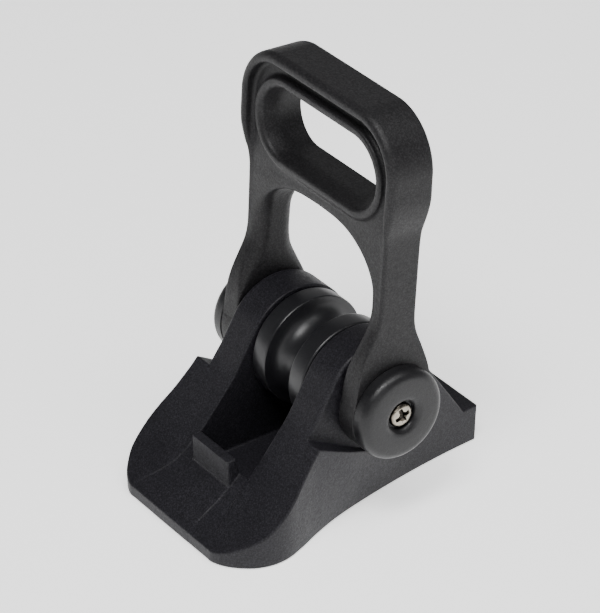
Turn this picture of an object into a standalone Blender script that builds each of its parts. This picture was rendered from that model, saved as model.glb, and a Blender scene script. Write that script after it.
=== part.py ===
"""Rope roller with two moulded cheeks and a fold-over pull lever on the same axle.

Metres, +Z up. X is the pivot axis, -Y is the thin front edge of the ramp and +Y is the
rear. The origin is on the seating face, straight below the middle of the pivot axis.
Dimensions below are millimetres and are scaled by MM where a mesh is made.
"""

import math

import bmesh
import bpy
from mathutils import Matrix

MM = 0.001

# ---- pivot and the stack along X (half lengths) ----
PIVOT_Z = 41.5
AXLE_R = 5.0
AXLE_HALF = 38.0
RUN = 0.3                 # gap between neighbouring solids
ROLLER_HALF = 13.7
ROLLER_R = 19.6
GROOVE_HALF = 6.4
GROOVE_R = 12.6
WELL_HALF = 14.6
CHEEK_FACE = 27.6
BOSS_FACE = 27.9
BOSS_R = 14.5
LEG_IN = 29.0
LEG_OUT = 36.8
CAP_IN = 37.2
CAP_OUT = 43.0
CAP_R = 16.0
SCREW_HOLE_R = 4.98
GRUB_X = 20.0

# ---- base ----
FRONT_Y = -62.4
REAR_Y = 49.3
LEDGE_Y = 43.1            # foot of the cheeks' rear slope
LEDGE_Z = 14.2
FRONT_Z = 4.1
FLOOR_Z = 8.9             # floor of the rope well
WELL_FRONT_Y = -41.2
WELL_REAR_Y = 37.0
CHEEK_R = 20.0
FLARE = 0.05              # side walls lean outward by this much per mm of height
# plan: (station along Y, half width)
PLAN = [(-62.4, 22.7), (-60.8, 26.8), (-58.0, 30.6), (-53.0, 34.7), (-47.0, 36.7), (-41.0, 36.5),
        (-34.0, 34.2), (-26.0, 30.9), (-15.0, 27.2), (0.0, 23.9), (18.0, 20.9), (35.0, 18.9), (49.3, 17.9)]
# ramp: (station along Y, height)
RAMP = [(-62.4, 4.1), (-56.0, 8.3), (-50.0, 11.9), (-44.0, 16.7), (-38.0, 22.6), (-32.0, 29.6),
        (-26.0, 37.0), (-22.0, 43.6), (-18.1, 50.15)]
TAB_HALF = 10.3
# funnel on the ramp: (station along Y, half width)
FUNNEL = [(-66.0, 21.9), (-62.0, 21.8), (-58.8, 20.7), (-55.0, 18.6), (-50.4, 16.6), (-46.5, 15.6), (-40.0, 15.2)]
FUNNEL_DEEP = 0.45
# plane of the pocket floors beside the cheeks
POCKET_Y, POCKET_Z, POCKET_FALL = -14.2, 28.2, 0.543
INSERT_X, INSERT_FRONT_Y, INSERT_REAR_Y = 12.0, -50.0, 43.0
INSERT_R = 3.6
INSERT_FRONT_LEN, INSERT_REAR_LEN = 5.6, 8.0

# ---- lever, in its own frame: x, w towards the rear, v up from the pivot ----
TILT = math.radians(3.33)
LEG_HALF_W = 7.1
GRIP_FRONT_W = -9.3
FACE_W = -5.0
GRIP_HALF = 41.0
GRIP_TOP = 102.9
GRIP_CORNER = 17.0
ARCH_HALF = 29.0
ARCH_TOP = 58.8
SLOT_V = 79.4
SLOT_HALF = 17.9
SLOT_R = 12.2
COLLAR_R = 15.8
COLLAR_FRONT_W = -8.4

for old in list(bpy.data.objects):
    bpy.data.objects.remove(old, do_unlink=True)

product = bpy.data.collections.new("rope_roller_with_lever")
helpers = bpy.data.collections.new("cutters")
for made in (product, helpers):
    bpy.context.scene.collection.children.link(made)

NYLON = ((0.022, 0.022, 0.024), 0.55, 0.0)
POLYMER = ((0.016, 0.016, 0.018), 0.35, 0.0)
ACETAL = ((0.75, 0.74, 0.70), 0.4, 0.0)
DARK_ACETAL = ((0.06, 0.06, 0.065), 0.45, 0.0)
STEEL = ((0.62, 0.60, 0.57), 0.3, 1.0)
SPRING = ((0.42, 0.42, 0.43), 0.35, 1.0)
BRASS = ((0.72, 0.53, 0.25), 0.35, 1.0)

# the axle's frame carries everything that is centred on the pivot; the lever's frame leans back on it
pivot = bpy.data.objects.new("pivot_frame", None)
pivot.location = (0.0, 0.0, PIVOT_Z * MM)
lever_frame = bpy.data.objects.new("lever_frame", None)
lever_frame.parent = pivot
lever_frame.rotation_euler = (-TILT, 0.0, 0.0)
for empty in (pivot, lever_frame):
    product.objects.link(empty)

# local axes of a flat outline whose thickness runs along world X, Y or Z
PLANES = {"X": Matrix(((0, 0, 1, 0), (1, 0, 0, 0), (0, 1, 0, 0), (0, 0, 0, 1))),
          "Y": Matrix(((1, 0, 0, 0), (0, 0, -1, 0), (0, 1, 0, 0), (0, 0, 0, 1))),
          "Z": Matrix.Identity(4)}


def register(obj, look, parent=None):
    """Links a part with a material of its own, or a cutter when it has no look."""
    if look is None:
        helpers.objects.link(obj)
        obj.hide_render = True
        obj.display_type = "WIRE"
    else:
        product.objects.link(obj)
        mat = bpy.data.materials.new(obj.name)
        mat.use_nodes = True
        bsdf = mat.node_tree.nodes["Principled BSDF"]
        bsdf.inputs["Base Color"].default_value = (*look[0], 1.0)
        bsdf.inputs["Roughness"].default_value = look[1]
        bsdf.inputs["Metallic"].default_value = look[2]
        obj.data.materials.append(mat)
    obj.parent = parent
    return obj


def plate(name, outline, axis, low, high, look=None, parent=None):
    """A flat outline given a thickness from low to high along an axis, as a closed mesh."""
    curve = bpy.data.curves.new(name, "CURVE")
    curve.dimensions = "2D"
    curve.fill_mode = "BOTH"
    curve.extrude = (high - low) / 2 * MM
    spline = curve.splines.new("POLY")
    spline.points.add(len(outline) - 1)
    for point, (a, b) in zip(spline.points, outline):
        point.co = (a * MM, b * MM, 0.0, 1.0)
    spline.use_cyclic_u = True
    drawn = bpy.data.objects.new(name, curve)
    helpers.objects.link(drawn)
    bpy.context.view_layer.update()
    mesh = bpy.data.meshes.new_from_object(drawn.evaluated_get(bpy.context.evaluated_depsgraph_get()))
    bpy.data.objects.remove(drawn, do_unlink=True)
    middle = (high + low) / 2 * MM
    shift = {"X": (middle, 0, 0), "Y": (0, middle, 0), "Z": (0, 0, middle)}[axis]
    bm = bmesh.new()
    bm.from_mesh(mesh)
    bmesh.ops.remove_doubles(bm, verts=bm.verts[:], dist=1e-6)
    bmesh.ops.transform(bm, verts=bm.verts[:], matrix=Matrix.Translation(shift) @ PLANES[axis])
    bmesh.ops.recalc_face_normals(bm, faces=bm.faces[:])
    bm.to_mesh(mesh)
    bm.free()
    mesh.name = name
    return register(bpy.data.objects.new(name, mesh), look, parent)


def turned(name, profile, steps, look=None, side=1, parent=None, upright=None):
    """A profile of (distance along the axis, radius) points with a Screw. It lies along X, or stands at upright."""
    area = sum(a[1] * b[0] - b[1] * a[0] for a, b in zip(profile, profile[1:] + profile[:1]))
    if area > 0:
        profile = profile[::-1]
    mesh = bpy.data.meshes.new(name)
    bm = bmesh.new()
    points = [bm.verts.new((r * MM, 0.0, along * MM)) for along, r in profile]
    for a, b in zip(points, points[1:]):
        bm.edges.new((a, b))
    if profile[0][1] > 0 or profile[-1][1] > 0:
        bm.edges.new((points[-1], points[0]))
    bm.to_mesh(mesh)
    bm.free()
    obj = register(bpy.data.objects.new(name, mesh), look, parent)
    if upright:
        obj.location = (upright[0] * MM, upright[1] * MM, 0.0)
    else:
        obj.rotation_euler = (0.0, side * math.pi / 2, 0.0)
    screw = obj.modifiers.new("turn", "SCREW")
    screw.axis = "Z"
    screw.angle = 2 * math.pi
    screw.steps = screw.render_steps = steps
    screw.use_merge_vertices = True
    screw.merge_threshold = 1e-5
    screw.use_smooth_shade = True
    return obj


def boolean(obj, other, operation):
    mod = obj.modifiers.new(operation.lower(), "BOOLEAN")
    mod.operation = operation
    mod.object = other
    mod.solver = "EXACT"
    return mod


def curve_through(stations, steps):
    """Catmull-Rom curve through the stations."""
    out = []
    last = len(stations) - 1
    for i in range(last):
        four = [stations[max(i - 1, 0)], stations[i], stations[i + 1], stations[min(i + 2, last)]]
        for k in range(steps):
            t = k / steps
            out.append(tuple(0.5 * (2 * b + (c - a) * t + (2 * a - 5 * b + 4 * c - d) * t * t + (3 * b - a - 3 * c + d) * t ** 3)
                             for a, b, c, d in zip(*four)))
    out.append(stations[-1])
    return out


def arc(a, b, r, start, end, steps):
    return [(a + r * math.cos(math.radians(start + (end - start) * k / steps)),
             b + r * math.sin(math.radians(start + (end - start) * k / steps))) for k in range(steps + 1)]


def stadium(half, r, v, steps):
    return arc(half, v, r, -90, 90, steps) + arc(-half, v, r, 90, 270, steps)


def mirrored(half):
    """The closed outline of a half outline given from the bottom up at +X."""
    return half + [(-a, b) for a, b in reversed(half) if a > 1e-9]


# ------------------------------------------------------------------ base
# side view: front edge, ramp, round cheek top, rear slope, ledge
reach = math.hypot(LEDGE_Y, LEDGE_Z - PIVOT_Z)
tangent = math.degrees(math.atan2(LEDGE_Z - PIVOT_Z, LEDGE_Y) + math.acos(CHEEK_R / reach))
side_view = [(FRONT_Y - 2.0, 0.0), (FRONT_Y - 2.0, FRONT_Z)] + curve_through(RAMP, 3)
side_view += arc(0.0, PIVOT_Z, CHEEK_R, 147, tangent, 21)
side_view += [(LEDGE_Y, LEDGE_Z), (REAR_Y + 2.0, LEDGE_Z), (REAR_Y + 2.0, 0.0)]
base = plate("base_body", side_view, "X", -60.0, 60.0, NYLON)

# plan view, wider at the top because the walls lean outward
half_plan = [(x, y) for y, x in curve_through(PLAN, 4)]
walls = plate("cut_plan", half_plan + [(-x, y) for x, y in reversed(half_plan)], "Z", -1.0, 70.0)
for vert in walls.data.vertices:
    vert.co.x += math.copysign(FLARE * vert.co.z, vert.co.x)
boolean(base, walls, "INTERSECT")

tab = plate("cut_tab", [(-46.0, 10.0), (-46.1, 24.4), (-42.7, 24.6), (-41.6, 19.5), (-40.6, 12.0)], "X", -TAB_HALF, TAB_HALF)
well = plate("cut_well", [(WELL_FRONT_Y, FLOOR_Z), (WELL_FRONT_Y, 90.0), (80.0, 90.0), (80.0, LEDGE_Z + 0.6),
                          (WELL_REAR_Y, LEDGE_Z + 0.6), (WELL_REAR_Y - 5.0, FLOOR_Z)], "X", -WELL_HALF, WELL_HALF)
boolean(base, well, "DIFFERENCE")
boolean(base, tab, "UNION")

# shallow funnel on the ramp, left and right of the raised tongue
low_line = [(y, z - FUNNEL_DEEP) for y, z in curve_through(RAMP, 3) if y < -37.0]
low_line = [(FRONT_Y - 5.0, FRONT_Z - FUNNEL_DEEP)] + low_line
above_ramp = low_line + [(low_line[-1][0], 80.0), (FRONT_Y - 5.0, 80.0)]
funnel_edge = [(x, y) for y, x in curve_through(FUNNEL, 2)]
for side, tag in ((1, "right"), (-1, "left")):
    outline = [(TAB_HALF, FUNNEL[0][0]), (TAB_HALF, FUNNEL[-1][0])] + funnel_edge[::-1]
    funnel = plate("cut_funnel_" + tag, [(side * x, y) for x, y in outline], "Z", 0.5, 70.0)
    boolean(funnel, plate("cut_above_ramp_" + tag, above_ramp, "X", -30.0, 30.0), "INTERSECT")
    boolean(base, funnel, "DIFFERENCE")

# pockets beside the cheeks: everything outside the cheek face and above a plane that falls to the rear
floor = [(y, POCKET_Z - POCKET_FALL * (y - POCKET_Y)) for y in (-60.0, 33.0)]
for side, tag in ((1, "right"), (-1, "left")):
    span = (CHEEK_FACE, 60.0) if side > 0 else (-60.0, -CHEEK_FACE)
    boolean(base, plate("cut_pocket_" + tag, floor + [(33.0, 90.0), (-60.0, 90.0)], "X", *span), "DIFFERENCE")
    boss = turned("cut_boss_" + tag, [(20.0, 0.0), (20.0, BOSS_R), (BOSS_FACE, BOSS_R), (BOSS_FACE, 0.0)], 48, None, side, pivot)
    boolean(base, boss, "UNION")
boolean(base, turned("cut_bore", [(-60.0, 0.0), (-60.0, AXLE_R + RUN), (60.0, AXLE_R + RUN), (60.0, 0.0)], 36, None, 1, pivot), "DIFFERENCE")

# underside: cores below the cheeks, insert holes, and the holes of the axle's grub screws
core_outline = [(18.4, -38.0), (31.0, -38.0), (29.6, -31.0), (26.4, -22.0), (23.0, -10.0), (21.2, 4.0), (18.4, 8.0)]
for side, tag in ((1, "right"), (-1, "left")):
    boolean(base, plate("cut_core_" + tag, [(side * x, y) for x, y in core_outline], "Z", -5.0, 17.0), "DIFFERENCE")
for x, y, depth, tag in ((-INSERT_X, INSERT_FRONT_Y, INSERT_FRONT_LEN, "front_left"), (INSERT_X, INSERT_FRONT_Y, INSERT_FRONT_LEN, "front_right"),
                         (-INSERT_X, INSERT_REAR_Y, INSERT_REAR_LEN, "rear_left"), (INSERT_X, INSERT_REAR_Y, INSERT_REAR_LEN, "rear_right")):
    hole = turned("cut_insert_" + tag, [(-5.0, 0.0), (-5.0, INSERT_R + RUN), (depth + 0.6, INSERT_R + RUN), (depth + 0.6, 0.0)],
                  20, upright=(x, y))
    boolean(base, hole, "DIFFERENCE")
    turned("threaded_insert_" + tag, [(RUN, 2.2), (RUN, INSERT_R), (depth * 0.4, INSERT_R), (depth * 0.4 + 0.5, INSERT_R - 0.5),
                                      (depth * 0.6, INSERT_R - 0.5), (depth * 0.6 + 0.5, INSERT_R), (depth, INSERT_R), (depth, 2.2)],
           18, BRASS, upright=(x, y))
for x, tag in ((GRUB_X, "right"), (-GRUB_X, "left")):
    boolean(base, turned("cut_grub_" + tag, [(10.0, 0.0), (10.0, 2.3), (38.0, 2.3), (38.0, 0.0)], 18, upright=(x, 0.0)), "DIFFERENCE")
    turned("axle_grub_screw_" + tag, [(29.0, 0.0), (29.0, 1.0), (27.0, 1.0), (27.0, 2.0), (35.2, 2.0), (36.2, 1.2), (36.2, 0.0)],
           18, STEEL, upright=(x, 0.0))

# ------------------------------------------------------------------ axle, roller and the stack along it
end = AXLE_HALF
turned("axle", [(-end + 14.0, 0.0), (-end + 13.0, 2.6), (-end, 2.6), (-end, AXLE_R - 0.5), (-end + 0.5, AXLE_R),
                (end - 0.5, AXLE_R), (end, AXLE_R - 0.5), (end, 2.6), (end - 13.0, 2.6), (end - 14.0, 0.0)], 32, STEEL, 1, pivot)

groove_top = ROLLER_R - 0.7
groove = [(GROOVE_HALF * math.sin(math.radians(a)), groove_top - (groove_top - GROOVE_R) * math.cos(math.radians(a)) ** 0.8)
          for a in range(-77, 78, 14)]
flange = [(-ROLLER_HALF, 8.3), (-ROLLER_HALF, ROLLER_R - 1.1), (-ROLLER_HALF + 1.1, ROLLER_R), (-GROOVE_HALF - 0.8, ROLLER_R)]
turned("rope_roller", flange + groove + [(-x, r) for x, r in reversed(flange)], 60, POLYMER, 1, pivot)
for side, tag in ((1, "right"), (-1, "left")):
    turned("roller_bush_" + tag, [(1.0, AXLE_R + RUN), (1.0, 8.0), (ROLLER_HALF - 0.1, 8.0), (ROLLER_HALF - 0.1, AXLE_R + RUN)],
           28, ACETAL, side, pivot)
    turned("thrust_washer_" + tag, [(13.95, AXLE_R + RUN), (13.95, 11.5), (14.3, 11.5), (14.3, AXLE_R + RUN)],
           28, DARK_ACETAL, side, pivot)
    turned("friction_washer_" + tag, [(28.15, AXLE_R + RUN), (28.15, 14.0), (28.75, 14.0), (28.75, AXLE_R + RUN)],
           32, DARK_ACETAL, side, pivot)
    turned("lever_bush_" + tag, [(LEG_IN, AXLE_R + RUN), (LEG_IN, 7.8), (LEG_OUT - 1.6, 7.8), (LEG_OUT - 1.6, 10.2),
                                 (LEG_OUT - 0.1, 10.2), (LEG_OUT - 0.1, AXLE_R + RUN)], 28, ACETAL, side, lever_frame)
    turned("disc_spring_" + tag, [(37.1, AXLE_R + 1.0), (38.2, 10.9), (38.75, 10.9), (37.65, AXLE_R + 1.0)],
           28, SPRING, side, pivot)
    turned("end_cap_" + tag, [
        (CAP_IN, 11.6), (CAP_IN, CAP_R - 0.5), (CAP_IN + 0.5, CAP_R), (40.4, CAP_R), (41.7, CAP_R - 0.5), (42.6, CAP_R - 1.6),
        (CAP_OUT, CAP_R - 3.2), (CAP_OUT, 7.2), (CAP_OUT - 0.5, 6.0), (CAP_OUT - 1.7, SCREW_HOLE_R + 0.12), (40.2, SCREW_HOLE_R),
        (40.2, 2.9), (38.4, 2.9), (38.4, AXLE_R + RUN), (37.5, AXLE_R + RUN), (37.5, AXLE_R + 0.7), (39.2, AXLE_R + 0.7),
        (39.2, 11.6)], 44, NYLON, side, pivot)
    # pan head screw with a cross recess
    head = turned("cap_screw_" + tag, [
        (24.8, 0.0), (24.8, 1.7), (25.4, 2.3), (40.5, 2.3), (40.5, 4.5), (40.8, 4.7), (41.6, 4.7), (42.3, 4.2), (42.75, 3.2),
        (43.0, 1.7), (43.0, 0.0)], 26, STEEL, side, pivot)
    spin = math.radians(20.0)
    for turn, blade in ((spin, "a"), (spin + math.pi / 2, "b")):
        bar = [(-2.2, -0.55), (2.2, -0.55), (2.2, 0.55), (-2.2, 0.55)]
        bar = [(a * math.cos(turn) - b * math.sin(turn), a * math.sin(turn) + b * math.cos(turn)) for a, b in bar]
        span = (41.3, 50.0) if side > 0 else (-50.0, -41.3)
        boolean(head, plate("cut_cross_%s_%s" % (tag, blade), bar, "X", *span, parent=pivot), "DIFFERENCE")

# ------------------------------------------------------------------ lever
# front view of half of it: leg, waist, shoulder and rounded grip corner
half_view = [(LEG_OUT, -20.0), (LEG_OUT, 14.0), (36.4, 24.0), (36.1, 34.0), (36.0, 48.0), (36.1, 58.0),
             (36.7, 63.0), (38.2, 67.0), (39.8, 71.0), (40.7, 75.5), (GRIP_HALF, 80.0)]
half_view = curve_through(half_view, 2) + arc(GRIP_HALF - GRIP_CORNER, GRIP_TOP - GRIP_CORNER, GRIP_CORNER, 4, 84, 12)
lever = plate("pull_lever", mirrored(half_view + [(0.0, GRIP_TOP + 0.3)]), "Y", -30.0, 30.0, NYLON, lever_frame)

# side view: disc at the pivot, flared foot, straight waist, thicker grip with a rounded top
foot_front = curve_through([(-15.3, 4.6), (-14.3, 14.0), (-12.4, 21.0), (-10.0, 26.6), (-8.1, 31.0), (-7.2, 36.0), (-LEG_HALF_W, 44.0)], 2)
foot_rear = curve_through([(15.5, 3.9), (13.6, 12.4), (11.0, 20.0), (8.6, 26.0), (7.3, 31.0), (LEG_HALF_W, 38.0)], 2)
side_outline = arc(0.0, 0.0, CAP_R, 14, -196, 30) + foot_front
side_outline += curve_through([(-LEG_HALF_W, 58.0), (-7.6, 62.5), (-8.5, 66.5), (GRIP_FRONT_W, 72.0)], 2)
side_outline += [(GRIP_FRONT_W, GRIP_TOP - 3.2), (GRIP_FRONT_W + 0.9, GRIP_TOP - 0.9), (GRIP_FRONT_W + 3.2, GRIP_TOP + 0.4),
                 (LEG_HALF_W - 2.6, GRIP_TOP + 0.4), (LEG_HALF_W - 0.7, GRIP_TOP - 0.6), (LEG_HALF_W, GRIP_TOP - 2.6)]
side_outline += foot_rear[::-1]
boolean(lever, plate("cut_lever_side", side_outline, "X", -60.0, 60.0, parent=lever_frame), "INTERSECT")

arch = [(ARCH_HALF, -40.0)] + curve_through([(ARCH_HALF, 38.0), (28.6, 43.6), (27.2, 48.0), (24.9, 51.6), (21.2, 54.7),
                                             (16.0, 57.1), (9.0, 58.4), (0.0, ARCH_TOP)], 2)
boolean(lever, plate("cut_arch", mirrored(arch), "Y", -40.0, 40.0, parent=lever_frame), "DIFFERENCE")

# face recessed inside the raised border, all but the collar round the slot; it runs out into the legs below
rim = curve_through([(35.2, 50.0), (35.4, 60.0), (36.4, 67.5), (37.4, 73.0), (37.8, 79.0)], 2)
rim += arc(37.8 - 14.0, 99.3 - 14.0, 14.0, 4, 86, 10)
recess = plate("cut_face", mirrored(rim + [(0.0, 99.4)]), "Y", -20.0, FACE_W, parent=lever_frame)
run_out = [(-8.6, 49.0), (-LEG_HALF_W, 51.0), (-6.4, 57.0), (-5.4, 63.0), (FACE_W - 0.1, 70.0), (FACE_W + 0.5, 110.0), (-30.0, 110.0), (-30.0, 49.0)]
boolean(recess, plate("cut_face_run_out", run_out, "X", -50.0, 50.0, parent=lever_frame), "INTERSECT")
boolean(recess, plate("cut_collar", stadium(SLOT_HALF, COLLAR_R, SLOT_V, 12), "Y", COLLAR_FRONT_W, 20.0, parent=lever_frame), "DIFFERENCE")
boolean(lever, recess, "DIFFERENCE")
boolean(lever, plate("cut_slot", stadium(SLOT_HALF, SLOT_R, SLOT_V, 12), "Y", -40.0, 40.0, parent=lever_frame), "DIFFERENCE")
for side, tag in ((1, "right"), (-1, "left")):
    seat = turned("cut_bush_seat_" + tag, [(20.0, 0.0), (20.0, 8.1), (LEG_OUT - 1.9, 8.1), (LEG_OUT - 1.9, 10.5), (50.0, 10.5), (50.0, 0.0)],
                  30, None, side, lever_frame)
    boolean(lever, seat, "DIFFERENCE")
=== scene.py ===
"""Looks of the rope roller with a pull lever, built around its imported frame."""

import math

import bmesh
import bpy
import numpy as np
from mathutils import Matrix, Vector


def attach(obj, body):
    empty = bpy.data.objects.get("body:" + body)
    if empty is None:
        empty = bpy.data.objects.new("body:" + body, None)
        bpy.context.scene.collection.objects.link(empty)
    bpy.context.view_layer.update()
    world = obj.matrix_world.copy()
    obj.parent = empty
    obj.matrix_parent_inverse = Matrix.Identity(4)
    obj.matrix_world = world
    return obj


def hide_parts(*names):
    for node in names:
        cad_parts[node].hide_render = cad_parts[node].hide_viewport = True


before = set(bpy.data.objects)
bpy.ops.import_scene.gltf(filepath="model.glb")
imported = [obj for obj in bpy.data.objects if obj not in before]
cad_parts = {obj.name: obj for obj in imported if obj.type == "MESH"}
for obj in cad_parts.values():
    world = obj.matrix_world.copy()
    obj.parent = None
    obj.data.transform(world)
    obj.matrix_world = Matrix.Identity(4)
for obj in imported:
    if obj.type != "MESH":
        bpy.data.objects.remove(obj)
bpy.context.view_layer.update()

MM = 0.001
PIVOT_Z = 41.5
TILT = math.radians(3.33)

# ------------------------------------------------------------------ distance fields
F = np.float32


def curve_through(stations, steps):
    out, last = [], len(stations) - 1
    for i in range(last):
        four = [stations[max(i - 1, 0)], stations[i], stations[i + 1], stations[min(i + 2, last)]]
        for k in range(steps):
            t = k / steps
            out.append(tuple(0.5 * (2 * b + (c - a) * t + (2 * a - 5 * b + 4 * c - d) * t * t + (3 * b - a - 3 * c + d) * t ** 3)
                             for a, b, c, d in zip(*four)))
    out.append(tuple(stations[-1]))
    return out


def arc(a, b, r, start, end, steps):
    return [(a + r * math.cos(math.radians(start + (end - start) * k / steps)),
             b + r * math.sin(math.radians(start + (end - start) * k / steps))) for k in range(steps + 1)]


def mirrored(half):
    return half + [(-a, b) for a, b in reversed(half) if a > 1e-9]


def sd_poly(points, a, b):
    """Signed distance to a closed outline, negative inside, on broadcast grids a and b."""
    a, b = np.broadcast_arrays(np.asarray(a, F), np.asarray(b, F))
    best = np.full(a.shape, 1e9, F)
    inside = np.zeros(a.shape, bool)
    for (x0, y0), (x1, y1) in zip(points, points[1:] + points[:1]):
        ex, ey = x1 - x0, y1 - y0
        length2 = ex * ex + ey * ey
        if length2 < 1e-12:
            continue
        t = np.clip(((a - x0) * ex + (b - y0) * ey) / length2, 0, 1)
        best = np.minimum(best, (a - x0 - t * ex) ** 2 + (b - y0 - t * ey) ** 2)
        if y0 != y1:
            inside ^= ((y0 > b) != (y1 > b)) & (a < x0 + (b - y0) * (ex / ey))
    best = np.sqrt(best)
    return np.where(inside, -best, best).astype(F)


def both(a, b, r):
    """Intersection with convex edges rounded to radius r."""
    return np.minimum(-r, np.maximum(a, b)) + np.sqrt(np.maximum(r + a, 0) ** 2 + np.maximum(r + b, 0) ** 2)


def either(a, b, r):
    """Union with concave edges filled to radius r."""
    return np.maximum(r, np.minimum(a, b)) - np.sqrt(np.maximum(r - a, 0) ** 2 + np.maximum(r - b, 0) ** 2)


def ease(t, low, high):
    t = np.clip((t - low) / (high - low), 0, 1)
    return (t * t * (3 - 2 * t)).astype(F)


def stadium(a, b, half, r):
    return np.sqrt(np.maximum(np.abs(a) - half, 0) ** 2 + b ** 2) - r


def sample(field, low, step, p):
    """Trilinear value of the field at points p."""
    g = (p - low) / step
    i = np.clip(np.floor(g).astype(np.int32), 0, np.array(field.shape) - 2)
    f = (g - i).astype(F)
    out = np.zeros(len(p), F)
    for dx in (0, 1):
        for dy in (0, 1):
            for dz in (0, 1):
                weight = (f[:, 0] if dx else 1 - f[:, 0]) * (f[:, 1] if dy else 1 - f[:, 1]) * (f[:, 2] if dz else 1 - f[:, 2])
                out += weight * field[i[:, 0] + dx, i[:, 1] + dy, i[:, 2] + dz]
    return out


def gradient_at(field, low, step, p, reach=0.6):
    out = np.empty((len(p), 3), F)
    for k in range(3):
        off = np.zeros(3, F)
        off[k] = reach * step
        out[:, k] = sample(field, low, step, p + off) - sample(field, low, step, p - off)
    return out / np.maximum(np.linalg.norm(out, axis=1, keepdims=True), 1e-9)


def surface(name, field, low, step, keep=1.0, place=None):
    """The zero surface of a sampled distance field as a mesh object (surface nets), in metres."""
    low = np.array(low, F)
    inside = field < 0
    count = np.zeros(tuple(n - 1 for n in field.shape), np.uint8)
    nx, ny, nz = field.shape
    corners = [(dx, dy, dz) for dx in (0, 1) for dy in (0, 1) for dz in (0, 1)]
    for dx, dy, dz in corners:
        count += inside[dx:nx - 1 + dx, dy:ny - 1 + dy, dz:nz - 1 + dz]
    cells = np.argwhere((count > 0) & (count < 8)).astype(np.int32)
    index = np.full(count.shape, -1, np.int32)
    index[cells[:, 0], cells[:, 1], cells[:, 2]] = np.arange(len(cells), dtype=np.int32)
    total = np.zeros((len(cells), 3), F)
    hits = np.zeros(len(cells), F)
    for a in corners:
        for axis in range(3):
            if a[axis]:
                continue
            b = list(a)
            b[axis] = 1
            va = field[cells[:, 0] + a[0], cells[:, 1] + a[1], cells[:, 2] + a[2]]
            vb = field[cells[:, 0] + b[0], cells[:, 1] + b[1], cells[:, 2] + b[2]]
            cross = (va < 0) != (vb < 0)
            t = np.where(cross, va / np.where(cross, va - vb, 1), 0)
            for k in range(3):
                total[:, k] += np.where(cross, a[k] + (t if k == axis else 0), 0)
            hits += cross
    points = (cells + total / hits[:, None]) * step + low
    for _ in range(3):
        value = sample(field, low, step, points)
        points = points - gradient_at(field, low, step, points) * np.clip(value, -0.4 * step, 0.4 * step)[:, None]
    quads = []
    for axis in range(3):
        u, v = [(1, 2), (2, 0), (0, 1)][axis]
        first = [slice(None)] * 3
        second = [slice(None)] * 3
        first[axis], second[axis] = slice(0, -1), slice(1, None)
        a, b = inside[tuple(first)], inside[tuple(second)]
        edge = np.argwhere(a != b).astype(np.int32)
        edge = edge[(edge[:, u] > 0) & (edge[:, v] > 0) & (edge[:, u] < field.shape[u] - 1) & (edge[:, v] < field.shape[v] - 1)]
        out = a[edge[:, 0], edge[:, 1], edge[:, 2]]
        ring = []
        for du, dv in ((-1, -1), (0, -1), (0, 0), (-1, 0)):
            c = edge.copy()
            c[:, u] += du
            c[:, v] += dv
            ring.append(index[c[:, 0], c[:, 1], c[:, 2]])
        ring = np.stack(ring, 1)
        ring[~out] = ring[~out][:, ::-1]
        quads.append(ring)
    quads = np.concatenate(quads)
    mesh = bpy.data.meshes.new(name)
    mesh.vertices.add(len(points))
    mesh.vertices.foreach_set("co", (points * MM).astype(F).ravel())
    mesh.loops.add(len(quads) * 4)
    mesh.loops.foreach_set("vertex_index", quads.ravel())
    mesh.polygons.add(len(quads))
    mesh.polygons.foreach_set("loop_start", np.arange(0, len(quads) * 4, 4, dtype=np.int32))
    mesh.update(calc_edges=True)
    mesh.validate()
    obj = bpy.data.objects.new(name, mesh)
    bpy.context.scene.collection.objects.link(obj)
    if keep < 1.0:
        thin = obj.modifiers.new("thin", "DECIMATE")
        thin.ratio = keep
        bpy.context.view_layer.update()
        thinned = bpy.data.meshes.new_from_object(obj.evaluated_get(bpy.context.evaluated_depsgraph_get()))
        obj.modifiers.clear()
        obj.data = thinned
        thinned.name = name
        mesh = thinned
    at = np.empty(len(mesh.vertices) * 3, F)
    mesh.vertices.foreach_get("co", at)
    at = at.reshape(-1, 3) / MM
    normals = gradient_at(field, low, step, at)
    if place is not None:
        mesh.transform(place)
        turn = np.array(place.to_3x3(), F)
        normals = normals @ turn.T
    mesh.polygons.foreach_set("use_smooth", np.ones(len(mesh.polygons), bool))
    mesh.normals_split_custom_set_from_vertices(normals.tolist())
    mesh.update()
    return obj


def grid(low, high, step):
    n = [int(math.ceil((h - l) / step)) + 1 for l, h in zip(low, high)]
    return [(l + step * np.arange(k)).astype(F) for l, k in zip(low, n)]


# ------------------------------------------------------------------ base
FRONT_Y, REAR_Y, LEDGE_Y, LEDGE_Z, FRONT_Z, FLOOR_Z = -62.4, 49.3, 43.1, 14.2, 4.1, 8.9
WELL_FRONT_Y, WELL_REAR_Y, WELL_HALF, CHEEK_R, CHEEK_FACE = -41.2, 37.0, 14.6, 20.0, 27.6
FLARE = 0.05
PLAN = [(-62.4, 22.7), (-60.8, 26.8), (-58.0, 30.6), (-53.0, 34.7), (-47.0, 36.7), (-41.0, 36.5),
        (-34.0, 34.2), (-26.0, 30.9), (-15.0, 27.2), (0.0, 23.9), (18.0, 20.9), (35.0, 18.9), (49.3, 17.9)]
RAMP = [(-62.4, 4.1), (-56.0, 8.3), (-50.0, 11.9), (-44.0, 16.7), (-38.0, 22.6), (-32.0, 29.6),
        (-26.0, 37.0), (-21.6, 44.3), (-17.14, 51.8)]
FUNNEL = [(-66.0, 21.9), (-62.0, 21.8), (-58.8, 20.7), (-55.0, 18.6), (-50.4, 16.6), (-46.5, 15.6), (-40.0, 15.2)]
TAB_HALF = 10.3


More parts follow.
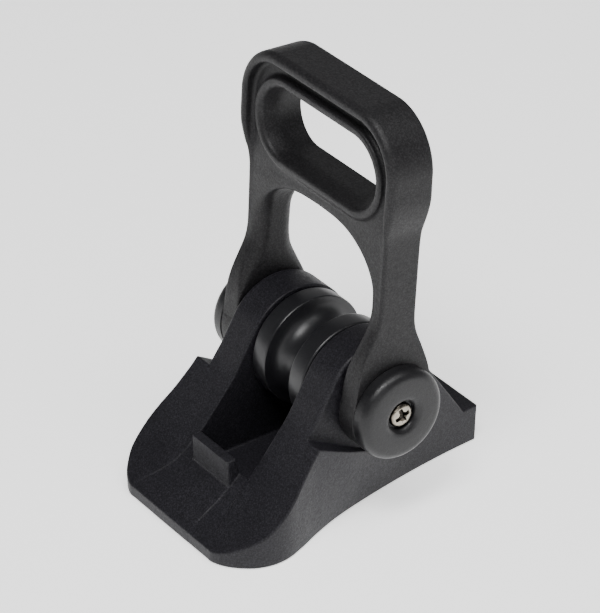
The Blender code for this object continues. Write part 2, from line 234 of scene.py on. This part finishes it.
def make_base(step):
    x, y, z = grid((0.0, FRONT_Y - 2.0, -1.6), (39.6, REAR_Y + 2.0, PIVOT_Z + CHEEK_R + 1.6), step)
    X, Y, Z = x[:, None, None], y[None, :, None], z[None, None, :]
    reach = math.hypot(LEDGE_Y, LEDGE_Z - PIVOT_Z)
    tangent = math.degrees(math.atan2(LEDGE_Z - PIVOT_Z, LEDGE_Y) + math.acos(CHEEK_R / reach))
    side = [(FRONT_Y, -9.0), (FRONT_Y, FRONT_Z)] + curve_through(RAMP, 6)[1:]
    side += arc(0.0, PIVOT_Z, CHEEK_R, 148, tangent, 60)
    side += [(LEDGE_Y, LEDGE_Z), (REAR_Y, LEDGE_Z), (REAR_Y, -9.0)]
    s = sd_poly(side, y[:, None], z[None, :])[None]
    # the funnel lowers the ramp by a quarter of a millimetre either side of the tongue
    funnel = [(x1, y1) for y1, x1 in curve_through(FUNNEL, 6)]
    outline = funnel + [(0.0, FUNNEL[-1][0]), (0.0, FUNNEL[0][0])]
    plan_funnel = sd_poly(outline, x[:, None], y[None, :])
    plan_funnel = np.maximum(plan_funnel, (TAB_HALF - x)[:, None])
    low = (1 - ease(plan_funnel, -0.2, 0.2)) * ease(-y, 41.0, 41.3)[None] * (0.35 + 0.65 * ease(y, -62.0, -55.0))[None]
    s = s + (0.26 * low)[:, :, None]
    # plan outline, leaning outward with height
    half = [(x1, y1) for y1, x1 in curve_through(PLAN, 8)]
    wide = grid((-9.0, 0, 0), (39.6 + step, 0, 0), step)[0]
    lean = FLARE + 0.15 * ease(y, -36.0, -9.0) * (1 - ease(y, -4.0, 30.0))
    p2 = sd_poly(half + [(-60.0, REAR_Y), (-60.0, FRONT_Y)], wide[:, None], y[None, :])
    p = np.empty((len(x), len(y), len(z)), F)
    for k, height in enumerate(z):
        at = (x[:, None] - lean[None] * max(height, 0.0) + 9.0) / step
        i = np.clip(np.floor(at).astype(int), 0, len(wide) - 2)
        f = (at - i).astype(F)
        column = np.arange(len(y))[None]
        p[:, :, k] = p2[i, column] * (1 - f) + p2[i + 1, column] * f
    p = p - 0.15
    r_edge = 0.5 + 0.05 * ease(Y, -45.0, -35.0)
    body = both(s, p, r_edge + 0 * Z)
    body = both(body, -Z + 0 * body, 0.12)
    # pockets beside the cheeks
    slope = math.atan(0.543)
    over = (28.2 - 0.543 * (Y + 14.2) - Z) * math.cos(slope)
    pocket = both(CHEEK_FACE - X, over, 0.5)
    cheek = 0.35 + 1.0 * ease(-over, 3.0, 9.0) * (1 - ease(X, 28.6, 30.2))
    body = both(body, -pocket, cheek)
    boss = both(np.sqrt(Y ** 2 + (Z - PIVOT_Z) ** 2) - 14.5, np.maximum(X - 27.9, 20.0 - X), 0.3)
    body = np.minimum(body, boss)
    # rope well
    well = sd_poly([(WELL_FRONT_Y, FLOOR_Z), (WELL_FRONT_Y, 120.0), (90.0, 120.0), (90.0, LEDGE_Z + 0.6),
                    (WELL_REAR_Y, LEDGE_Z + 0.6), (WELL_REAR_Y - 5.0, FLOOR_Z)], y[:, None], z[None, :])[None]
    well = both(X - WELL_HALF, well, 0.8)
    body = both(body, -well, 0.45)
    # tab at the top of the tongue
    tab = sd_poly([(-46.0, 10.0), (-46.1, 24.5), (-42.7, 24.7), (-41.6, 19.5), (-40.6, 12.0)], y[:, None], z[None, :])[None]
    tab = both(tab, X - TAB_HALF, 0.75)
    body = either(body, tab, 0.3)
    # axle bore and underside
    body = np.maximum(body, -(np.sqrt(Y ** 2 + (Z - PIVOT_Z) ** 2) - 5.3))
    core = sd_poly([(18.4, -38.0), (31.0, -38.0), (29.6, -31.0), (26.4, -22.0), (23.0, -10.0), (21.2, 4.0), (18.4, 8.0)],
                   x[:, None], y[None, :])[:, :, None]
    body = both(body, -both(core + 0.9, Z - 17.0 + 0.9, 0.1) + 0.9, 0.3)
    for hy, depth in ((-50.0, 6.2), (43.0, 8.6)):
        hole = np.maximum(np.sqrt((X - 12.0) ** 2 + (Y - hy) ** 2) - 3.9, Z - depth)
        body = both(body, -hole, 0.25)
    hole = np.maximum(np.sqrt((X - 20.0) ** 2 + Y ** 2) - 2.3, Z - 37.0)
    body = np.maximum(body, -hole)
    body = body.astype(F)
    field = np.concatenate([body[:0:-1], body])
    return field, (-float(x[-1]), float(y[0]), float(z[0]))


# ------------------------------------------------------------------ lever
LEG_OUT, LEG_HALF_W, GRIP_FRONT_W, GRIP_HALF, GRIP_TOP, GRIP_CORNER = 36.8, 7.1, -9.3, 40.7, 103.1, 19.6
GRIP_REAR_W = 7.5
ARCH_HALF, ARCH_TOP, SLOT_V, SLOT_HALF, SLOT_R, COLLAR_R, COLLAR_W = 29.0, 58.8, 79.4, 17.9, 12.2, 15.8, -8.1


def make_lever(step):
    x, w, v = grid((0.0, -17.6, -17.6), (43.0, 17.6, 104.6), step)
    X, W, V = x[:, None, None], w[None, :, None], v[None, None, :]
    half = [(LEG_OUT, -22.0), (LEG_OUT, 14.0), (36.7, 24.0), (36.7, 34.0), (36.8, 48.0), (37.0, 58.0),
            (37.5, 63.0), (38.7, 67.0), (39.9, 71.0), (40.7, 75.5), (GRIP_HALF, 80.0)]
    half = curve_through(half, 5) + arc(GRIP_HALF - GRIP_CORNER, GRIP_TOP - GRIP_CORNER, GRIP_CORNER, 4, 86, 30)
    front = sd_poly(half + [(-10.0, GRIP_TOP), (-10.0, -22.0)], x[:, None], v[None, :])[:, None, :]
    foot_front = curve_through([(-15.3, 4.6), (-14.3, 14.0), (-12.4, 21.0), (-10.0, 26.6), (-8.1, 31.0), (-7.2, 36.0), (-LEG_HALF_W, 44.0)], 5)
    foot_rear = curve_through([(15.5, 3.9), (13.5, 12.4), (10.6, 20.0), (8.2, 26.0), (7.2, 31.0), (LEG_HALF_W, 38.0)], 5)
    side = arc(0.0, 0.0, 15.9, 14, -196, 90) + foot_front
    side += curve_through([(-LEG_HALF_W, 58.0), (-7.6, 62.5), (-8.5, 66.5), (GRIP_FRONT_W, 72.0)], 6)
    side += [(GRIP_FRONT_W, GRIP_TOP + 4.0), (GRIP_REAR_W, GRIP_TOP + 4.0), (GRIP_REAR_W, 74.0), (LEG_HALF_W, 62.0)] + foot_rear[::-1]
    profile = sd_poly(side, w[:, None], v[None, :])[None]
    r_edge = 0.35 + 0.75 * ease(V, 16.0, 30.0) + (1.2 - 0.95 * ease(W, -3.0, 3.0)) * ease(V, 60.0, 76.0)
    body = both(front, profile, r_edge + 0 * X)
    # arch between the legs, its edges rounder where the legs are thin
    arch = [(ARCH_HALF, -60.0)] + curve_through([(ARCH_HALF, 36.0), (28.6, 42.6), (27.2, 47.4), (24.9, 51.2), (21.2, 54.5),
                                                 (16.0, 57.0), (9.0, 58.4), (0.0, ARCH_TOP)], 6)
    hollow = sd_poly(arch + [(-40.0, ARCH_TOP), (-40.0, -60.0)], x[:, None], v[None, :])[:, None, :]
    r_in = 0.7 + 4.1 * ease(V, 10.0, 28.0) - 3.1 * ease(V, 42.0, 57.0)
    body = both(body, -hollow, r_in + 0 * X + 0 * W)
    # recessed face inside the border; it runs out into the legs
    rim = curve_through([(35.6, 40.0), (35.6, 60.0), (36.2, 67.5), (36.9, 73.0), (37.2, 79.0)], 5)
    rim += arc(37.2 - 15.2, 99.1 - 15.2, 15.2, 4, 88, 24)
    rim = sd_poly(rim + [(-30.0, 99.1), (-30.0, 40.0)], x[:, None], v[None, :])[:, None, :]
    ring = stadium(X, V - SLOT_V, SLOT_HALF, COLLAR_R)
    face = -LEG_HALF_W - 0.4 + 0.7 * ease(V, 54.0, 62.0) + 1.0 * ease(V, 60.0, 76.0) + 0.5 * ease(V, 74.0, 95.0)
    cut = both(np.maximum(rim, -ring), (W - face), 1.5)
    body = both(body, -cut, 1.15)
    # the collar stands a little lower than the border
    low = both(ring - 1.6, W - COLLAR_W, 0.2)
    body = both(body, -low, 0.9)
    slot = stadium(X, V - SLOT_V, SLOT_HALF, SLOT_R - 0.95 + 1.5 * (1 - ease(W, -9.5, -1.0)))
    body = both(body, -slot, 0.5 + 1.1 * (1 - ease(W, -6.5, -1.0)) + 0 * X + 0 * V)
    # bush seat
    axial = np.sqrt(W ** 2 + V ** 2)
    seat = np.minimum(axial - 8.1, np.maximum(axial - 10.5, 34.9 - X))
    body = np.maximum(body, -seat).astype(F)
    field = np.concatenate([body[:0:-1], body])
    return field, (-float(x[-1]), float(w[0]), float(v[0]))


# ------------------------------------------------------------------ turned pieces
def rounded(profile, radii, steps=5):
    """Rounds the corners of a closed (along, radius) profile."""
    out, n = [], len(profile)
    for i, (corner, r) in enumerate(zip(profile, radii)):
        if r <= 0:
            out.append(corner)
            continue
        p, a, b = (np.array(q, float) for q in (corner, profile[i - 1], profile[(i + 1) % n]))
        ua, ub = (a - p) / np.linalg.norm(a - p), (b - p) / np.linalg.norm(b - p)
        half = math.acos(float(np.clip(ua @ ub, -1, 1))) / 2
        cut = min(r / math.tan(half), 0.48 * np.linalg.norm(a - p), 0.48 * np.linalg.norm(b - p))
        start, finish = p + ua * cut, p + ub * cut
        for k in range(steps + 1):
            t = k / steps
            out.append(tuple((1 - t) ** 2 * start + 2 * t * (1 - t) * p + t * t * finish))
    return out


def turned(name, profile, steps, side=1):
    """A closed (distance along X, radius) profile turned about the pivot axis, as a smooth mesh in metres."""
    bm = bmesh.new()
    rings = []
    for along, r in profile:
        if r < 1e-6:
            rings.append([bm.verts.new((side * along * MM, 0.0, PIVOT_Z * MM))])
            continue
        rings.append([bm.verts.new((side * along * MM, r * math.cos(2 * math.pi * i / steps) * MM,
                                    (PIVOT_Z + r * math.sin(2 * math.pi * i / steps)) * MM)) for i in range(steps)])
    for a, b in zip(rings, rings[1:] + rings[:1]):
        if len(a) == 1 and len(b) == 1:
            continue
        for i in range(steps):
            j = (i + 1) % steps
            if len(a) == 1:
                bm.faces.new((a[0], b[j], b[i]))
            elif len(b) == 1:
                bm.faces.new((a[i], a[j], b[0]))
            else:
                bm.faces.new((a[i], a[j], b[j], b[i]))
    bmesh.ops.recalc_face_normals(bm, faces=bm.faces[:])
    mesh = bpy.data.meshes.new(name)
    bm.to_mesh(mesh)
    bm.free()
    mesh.shade_smooth()
    mesh.set_sharp_from_angle(angle=math.radians(38))
    obj = bpy.data.objects.new(name, mesh)
    bpy.context.scene.collection.objects.link(obj)
    return obj


def make_screw(step):
    """Pan head with a cross recess, shank included, for the +X side; local x runs from the shank's end."""
    x, y, z = grid((24.4, -5.2, -5.2), (43.3, 5.2, 5.2), step)
    X, Y, Z = x[:, None, None], y[None, :, None], z[None, None, :]
    r = np.sqrt(Y ** 2 + Z ** 2)
    radial = r + 0 * X
    dome = curve_through([(40.9, 4.35), (41.5, 4.0), (41.95, 3.3), (42.2, 2.3), (42.3, 1.2), (42.32, 0.0)], 5)
    head = [(40.5, -6.0), (40.5, 4.4)] + dome + [(42.32, -6.0)]
    along = np.broadcast_to(X, radial.shape)
    body = sd_poly(head, x[:, None], np.linspace(-0.2, 7.6, 200, dtype=F)[None, :])
    at = np.clip((radial + 0.2) / (7.8 / 199), 0, 198.99)
    i = at.astype(np.int32)
    f = (at - i).astype(F)
    rows = np.broadcast_to(np.arange(len(x))[:, None, None], radial.shape)
    body = body[rows, i] * (1 - f) + body[rows, i + 1] * f
    shank = both(radial - 2.3, np.maximum(24.9 - along, along - 41.0), 0.4)
    body = np.minimum(body, shank)
    turn = math.radians(20.0)
    U = Y * math.cos(turn) + Z * math.sin(turn)
    T = -Y * math.sin(turn) + Z * math.cos(turn)
    deep = 42.32 - X
    for a, b in ((U, T), (T, U)):
        arm = both(np.abs(a) - (0.80 - 0.10 * deep), np.abs(b) - (3.1 - 0.8 * deep), 0.15)
        body = both(body, -np.maximum(arm, 40.75 - X), 0.1)
    cone = r - (1.65 - 0.6 * deep)
    body = both(body, -np.maximum(cone, 40.65 - X), 0.1).astype(F)
    return body, (float(x[0]), float(y[0]), float(z[0]))


# ------------------------------------------------------------------ materials
class Nodes:
    """Short way to build a node tree."""

    def __init__(self, name):
        self.mat = bpy.data.materials.new(name)
        self.mat.use_nodes = True
        self.tree = self.mat.node_tree
        self.bsdf = self.tree.nodes["Principled BSDF"]
        self.coords = self.tree.nodes.new("ShaderNodeTexCoord")

    def add(self, kind, inputs=(), **settings):
        node = self.tree.nodes.new(kind)
        for key, value in settings.items():
            setattr(node, key, value)
        for key, value in dict(inputs).items():
            if isinstance(value, bpy.types.NodeSocket):
                self.tree.links.new(value, node.inputs[key])
            else:
                node.inputs[key].default_value = value
        return node

    def noise(self, scale, detail=2.0, rough=0.5):
        return self.add("ShaderNodeTexNoise", {"Vector": self.coords.outputs["Object"], "Scale": scale, "Detail": detail, "Roughness": rough}).outputs["Fac"]

    def ramp(self, value, low, high, out_low, out_high):
        return self.add("ShaderNodeMapRange", {"Value": value, "From Min": low, "From Max": high, "To Min": out_low, "To Max": out_high}).outputs["Result"]

    def math(self, operation, a, b):
        return self.add("ShaderNodeMath", {0: a, 1: b}, operation=operation).outputs[0]

    def mix(self, factor, a, b):
        node = self.add("ShaderNodeMix", {"Factor": factor}, data_type="RGBA")
        for socket, value in ((node.inputs[6], a), (node.inputs[7], b)):
            if isinstance(value, bpy.types.NodeSocket):
                self.tree.links.new(value, socket)
            else:
                socket.default_value = (*value, 1.0)
        return node.outputs[2]

    def bump(self, height, distance, strength=1.0, below=None):
        inputs = {"Height": height, "Distance": distance, "Strength": strength}
        if below is not None:
            inputs["Normal"] = below
        return self.add("ShaderNodeBump", inputs).outputs["Normal"]

    def set(self, socket, value):
        if isinstance(value, bpy.types.NodeSocket):
            self.tree.links.new(value, self.bsdf.inputs[socket])
        else:
            self.bsdf.inputs[socket].default_value = value


def moulded(name, dark, light, rough, grain, specular=0.5, depth=0.00004, sparkle=0.5):
    """Glass-filled nylon: near black, with a fine grain of paler flecks, cloudy gloss and a spark-eroded texture."""
    m = Nodes(name)
    cloud = m.noise(60.0, 3.0, 0.6)
    fine = m.noise(grain, 2.0, 0.6)
    flecks = m.add("ShaderNodeTexVoronoi", {"Vector": m.coords.outputs["Object"], "Scale": grain * 1.3, "Randomness": 1.0}).outputs["Distance"]
    fleck = m.ramp(flecks, 0.10, 0.32, 1.0, 0.0)
    speck = m.ramp(fine, 0.42, 0.72, 0.0, 1.0)
    amount = m.math("ADD", m.math("MULTIPLY", speck, 0.62), m.math("MULTIPLY", fleck, sparkle))
    amount = m.math("MULTIPLY", amount, m.ramp(cloud, 0.3, 0.7, 0.75, 1.1))
    m.set("Base Color", m.mix(amount, dark, light))
    rise = m.ramp(m.noise(grain * 0.6, 2.0, 0.6), 0.3, 0.7, rough - 0.07, rough + 0.08)
    m.set("Roughness", m.math("ADD", rise, m.ramp(cloud, 0.3, 0.7, -0.03, 0.03)))
    m.set("Specular IOR Level", specular)
    texture = m.bump(m.noise(grain * 0.8, 3.0, 0.65), depth, 1.0)
    texture = m.bump(m.noise(grain * 0.22, 2.0, 0.5), depth * 1.2, 0.6, texture)
    m.set("Normal", texture)
    return m.mat


def smooth_polymer(name, colour, rough):
    """Turned polymer: smoother, with faint lines running round the axle."""
    m = Nodes(name)
    split = m.add("ShaderNodeSeparateXYZ", {"Vector": m.coords.outputs["Object"]})
    lines = m.add("ShaderNodeTexNoise", {"W": split.outputs["X"], "Scale": 5200.0, "Detail": 2.0}, noise_dimensions="1D").outputs["Fac"]
    grain = m.noise(2600.0, 2.0, 0.5)
    cloud = m.noise(90.0, 3.0, 0.6)
    m.set("Base Color", m.mix(m.ramp(grain, 0.4, 0.7, 0.0, 1.0), colour, tuple(c * 1.5 for c in colour)))
    m.set("Roughness", m.ramp(cloud, 0.3, 0.7, rough - 0.04, rough + 0.06))
    m.set("Normal", m.bump(grain, 0.00001, 0.5, m.bump(lines, 0.000012, 0.5)))
    return m.mat


def metal(name, colour, rough, tint=(0.30, 0.22, 0.14), stain=0.25):
    """Stainless or brass: polished, with fine scratches and a little warm staining."""
    m = Nodes(name)
    cloud = m.noise(420.0, 4.0, 0.6)
    scratch = m.add("ShaderNodeTexNoise", {"Vector": m.add("ShaderNodeMapping", {"Vector": m.coords.outputs["Object"], "Scale": (1.0, 1.0, 14.0)}).outputs[0],
                                           "Scale": 900.0, "Detail": 3.0}).outputs["Fac"]
    m.set("Base Color", m.mix(m.math("MULTIPLY", m.ramp(cloud, 0.45, 0.75, 0.0, 1.0), stain), colour, tint))
    m.set("Metallic", 1.0)
    m.set("Roughness", m.ramp(scratch, 0.3, 0.7, rough - 0.06, rough + 0.10))
    m.set("Normal", m.bump(scratch, 0.00001, 0.6))
    return m.mat


def screw_steel(name, bright, dark, rough):
    """The same metal for a head in a recess: its own colour on the crown, with painted shade darkening the cross and
    round the flank.
    """
    m = Nodes(name)
    split = m.add("ShaderNodeSeparateXYZ", {"Vector": m.coords.outputs["Object"]})
    height = m.add("ShaderNodeMath", {0: split.outputs["X"]}, operation="ABSOLUTE").outputs[0]
    cloud = m.noise(700.0, 4.0, 0.6)
    # painted shade: below the crown the colour turns dark in the cross recess and round the flank; cloud noise mottles
    # it at random
    painted_shade_and_mottle = m.math("ADD", m.ramp(height, 0.0413, 0.0420, 0.0, 1.0), m.ramp(cloud, 0.3, 0.7, -0.22, 0.12))
    m.set("Base Color", m.mix(m.ramp(painted_shade_and_mottle, 0.0, 1.0, 0.0, 1.0), dark, bright))
    m.set("Metallic", 1.0)
    m.set("Roughness", m.ramp(cloud, 0.3, 0.7, rough - 0.05, rough + 0.12))
    m.set("Normal", m.bump(cloud, 0.00003, 0.5))
    return m.mat


def acetal(name, colour, rough):
    m = Nodes(name)
    grain = m.noise(1400.0, 3.0, 0.6)
    m.set("Base Color", m.mix(grain, tuple(c * 0.92 for c in colour), colour))
    m.set("Roughness", m.ramp(grain, 0.3, 0.7, rough - 0.05, rough + 0.05))
    m.set("Subsurface Weight", 0.0)
    m.set("Normal", m.bump(grain, 0.00001, 0.5))
    return m.mat


NYLON = moulded("nylon_base", (0.0062, 0.0059, 0.0078), (0.0360, 0.0343, 0.0420), 0.49, 1900.0, 0.23, 0.00008, 0.5)
LEVER = moulded("nylon_lever", (0.0058, 0.0055, 0.0062), (0.0320, 0.0308, 0.0330), 0.50, 1700.0, 0.27, 0.00008, 0.6)
CAP = moulded("nylon_cap", (0.0070, 0.0069, 0.0078), (0.0190, 0.0188, 0.0205), 0.38, 2200.0, 0.34, 0.00006, 0.3)
ROLLER = smooth_polymer("roller_polymer", (0.0068, 0.0068, 0.0082), 0.36)
STEEL = metal("stainless", (0.40, 0.36, 0.30), 0.17)
# the second colour is painted shade for the screw head's cross recess and flank
SCREW = screw_steel("stainless_head", (0.40, 0.36, 0.30), (0.035, 0.030, 0.025), 0.20)
SPRING = metal("spring_steel", (0.42, 0.42, 0.43), 0.33, (0.2, 0.2, 0.22), 0.2)
BRASS = metal("brass", (0.72, 0.50, 0.22), 0.30, (0.35, 0.22, 0.10), 0.3)
WHITE = acetal("acetal_white", (0.72, 0.71, 0.67), 0.42)
GREY = acetal("acetal_dark", (0.05, 0.05, 0.055), 0.45)


def finish_piece(obj, mat, body, slot, *nodes):
    obj.data.materials.clear()
    obj.data.materials.append(mat)
    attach(obj, body)
    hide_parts(*nodes)
    return obj


BASE_STEP = 0.4
LEVER_STEP = 0.36
field, low = make_base(BASE_STEP)
finish_piece(surface("base_moulding", field, low, BASE_STEP, 0.36), NYLON, "base", "nylon_black", "base_body")
field, low = make_lever(LEVER_STEP)
lean = Matrix.Translation((0.0, 0.0, PIVOT_Z * MM)) @ Matrix.Rotation(-TILT, 4, "X")
finish_piece(surface("lever_moulding", field, low, LEVER_STEP, 0.5, lean), LEVER, "lever", "nylon_black", "pull_lever")

# roller: two flanges and a round groove
ROLLER_HALF, ROLLER_R, GROOVE_HALF, GROOVE_R = 13.7, 19.6, 6.4, 12.6
groove = [(GROOVE_HALF * math.sin(math.radians(a)), ROLLER_R - 0.55 - (ROLLER_R - 0.55 - GROOVE_R) * math.cos(math.radians(a)) ** 0.8)
          for a in np.linspace(-84, 84, 49)]
edge = [(-ROLLER_HALF, 8.3), (-ROLLER_HALF, ROLLER_R - 1.0)] + arc(-ROLLER_HALF + 0.9, ROLLER_R - 0.9, 0.9, 180, 90, 7)[1:]
edge += [(-GROOVE_HALF - 0.75, ROLLER_R), (-GROOVE_HALF - 0.45, ROLLER_R - 0.05), (-GROOVE_HALF - 0.18, ROLLER_R - 0.22)]
roller = turned("roller_turned", edge + groove + [(-a, r) for a, r in reversed(edge)], 180)
finish_piece(roller, ROLLER, "roller", "roller_polymer", "rope_roller")

# caps and screws
field, low = make_screw(0.11)
for side, tag in ((1, "right"), (-1, "left")):
    cap_profile = [(36.95, 11.6), (36.95, 15.8), (37.15, 15.98)] + arc(39.7, 12.75, 3.23, 90, 14, 16)
    cap_profile += [(42.98, 12.6), (42.98, 7.6)] + curve_through([(42.93, 7.1), (42.6, 6.2), (41.9, 5.45), (41.2, 5.1), (40.2, 5.0)], 4)
    cap_profile += [(40.2, 2.9), (38.4, 2.9), (38.4, 5.3), (37.5, 5.3), (37.5, 5.7), (39.2, 5.7), (39.2, 11.6)]
    cap = turned("cap_%s_moulding" % tag, cap_profile, 160, side)
    finish_piece(cap, CAP, "base", "nylon_black", "end_cap_" + tag)
    place = Matrix.Translation((0.0, 0.0, PIVOT_Z * MM))
    if side < 0:
        place = place @ Matrix.Rotation(math.pi, 4, "Z")
    screw = surface("cap_screw_%s_head" % tag, field, low, 0.11, 0.45, place)
    finish_piece(screw, SCREW, "base", "stainless", "cap_screw_" + tag)

# the pieces whose CAD shape stays
kept = {"axle": STEEL, "axle_grub_screw": STEEL, "disc_spring": SPRING, "roller_bush": WHITE, "lever_bush": WHITE,
        "thrust_washer": GREY, "friction_washer": GREY, "threaded_insert": BRASS}
for name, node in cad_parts.items():
    for key, mat in kept.items():
        if name.startswith(key) and not (key == "axle" and name != "axle"):
            node.data.materials.clear()
            node.data.materials.append(mat)
            node.data.shade_smooth()
            node.data.set_sharp_from_angle(angle=math.radians(40))

# ------------------------------------------------------------------ stage
FLOOR_GLOW = 1.05
floor_mesh = bpy.data.meshes.new("floor")
bm = bmesh.new()
bmesh.ops.create_grid(bm, x_segments=1, y_segments=1, size=6.0)
bm.to_mesh(floor_mesh)
bm.free()
floor = bpy.data.objects.new("floor", floor_mesh)
bpy.context.scene.collection.objects.link(floor)
floor.location = (0.0, 0.0, -0.0002)
paper = Nodes("floor_paper")
paper.set("Base Color", (0.93, 0.93, 0.93, 1.0))
paper.set("Roughness", 0.9)
paper.set("Specular IOR Level", 0.1)
paper.set("Emission Color", (1.0, 1.0, 1.0, 1.0))
paper.set("Emission Strength", FLOOR_GLOW)
floor_mesh.materials.append(paper.mat)


def lamp(name, place, aim, size, power, colour=(1.0, 1.0, 1.0), height=None):
    light = bpy.data.lights.new(name, "AREA")
    light.shape = "RECTANGLE"
    light.size, light.size_y = size, height or size
    light.energy = power
    light.color = colour
    obj = bpy.data.objects.new(name, light)
    bpy.context.scene.collection.objects.link(obj)
    obj.location = place
    obj.rotation_euler = (Vector(aim) - Vector(place)).to_track_quat("-Z", "Y").to_euler()
    return obj


az, el, roll, dist = math.radians(54.434), math.radians(31.889), math.radians(-0.379), 1.13497
back = Vector((math.sin(az) * math.cos(el), -math.cos(az) * math.cos(el), math.sin(el)))
right = Vector((math.cos(az), math.sin(az), 0.0))
up = right.cross(-back)
R = right * math.cos(roll) + up * math.sin(roll)
U = -right * math.sin(roll) + up * math.cos(roll)
place = Vector((0.0, 0.0, PIVOT_Z * MM)) + back * dist - R * 0.008136 + U * 0.017005
camera_data = bpy.data.cameras.new("camera")
camera_data.sensor_fit = "HORIZONTAL"
camera_data.sensor_width = 36.0
camera_data.lens = 36.0 * 3474.73 / 600.0
camera_data.clip_start, camera_data.clip_end = 0.05, 30.0
camera = bpy.data.objects.new("camera", camera_data)
bpy.context.scene.collection.objects.link(camera)
camera.matrix_world = Matrix((
    (R.x, U.x, back.x, place.x), (R.y, U.y, back.y, place.y), (R.z, U.z, back.z, place.z), (0.0, 0.0, 0.0, 1.0)))
bpy.context.scene.camera = camera

middle = Vector((0.0, 0.0, 0.05))
lamp("key_front", middle + Vector((0.30, -0.47, 1.02)), middle, 0.34, 10.0)
lamp("top_soft", middle + Vector((0.42, 0.12, 1.10)), middle, 0.7, 8.0)
lamp("side_right", middle + Vector((1.25, -0.35, 0.42)), middle, 0.9, 2.0, (1.0, 0.99, 0.98), 0.5)
lamp("rear_left", middle + Vector((-1.15, 0.95, 0.80)), middle, 1.0, 0.9)

world = bpy.data.worlds.new("studio")
bpy.context.scene.world = world
world.use_nodes = True
tree = world.node_tree
background = tree.nodes["Background"]
sky = tree.nodes.new("ShaderNodeTexCoord")
split = tree.nodes.new("ShaderNodeSeparateXYZ")
fade = tree.nodes.new("ShaderNodeMapRange")
tree.links.new(sky.outputs["Generated"], split.inputs[0])
tree.links.new(split.outputs["Z"], fade.inputs["Value"])
fade.inputs["From Min"].default_value, fade.inputs["From Max"].default_value = 0.0, 0.7
fade.inputs["To Min"].default_value, fade.inputs["To Max"].default_value = 0.26, 0.08
tree.links.new(fade.outputs["Result"], background.inputs["Strength"])
background.inputs["Color"].default_value = (1.0, 1.0, 1.0, 1.0)
